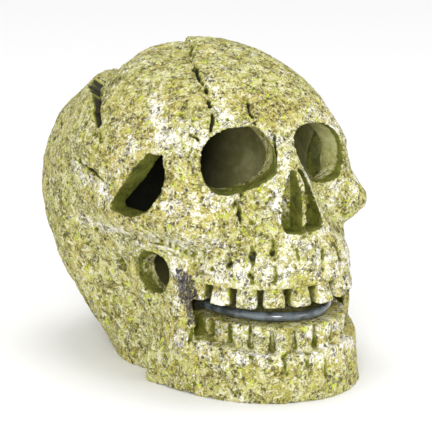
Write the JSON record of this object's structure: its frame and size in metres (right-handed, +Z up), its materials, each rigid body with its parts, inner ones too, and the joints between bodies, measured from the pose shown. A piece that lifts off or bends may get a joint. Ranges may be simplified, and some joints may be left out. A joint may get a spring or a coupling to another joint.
{
  "type": "aquarium bubbling ornament",
  "caption": "Hollow cast-resin skull ornament for an aquarium, open eye sockets and mouth, with an air inlet at the back and a perforated bubble tube in the mouth.",
  "frame": {"origin": "on the standing face, in the middle of the overall length and width", "axes": "+Z up; the face looks towards -Y; +X is the skull's own left side"},
  "size_m": [0.1192, 0.1781, 0.1415],
  "materials": {
    "casting_resin": "dry-brushed mossy green over pitted cast resin, matt",
    "air_tube": "smoky grey-blue flexible tube, glossy",
    "inlet_plastic": "moulded, satin black",
    "clip_plastic": "moulded, satin dark olive",
    "grommet_rubber": "soft black rubber"
  },
  "bodies": {
    "root": {"cranium_casting": "casting_resin", "jaw_casting": "casting_resin", "inlet_grommet": "grommet_rubber", "air_inlet": "inlet_plastic", "supply_tube": "air_tube", "tube_coupler": "inlet_plastic", "bubble_tube": "air_tube", "tube_end_plug": "inlet_plastic", "tube_clip_left": "clip_plastic", "tube_clip_right": "clip_plastic"}
  },
  "joints": []
}
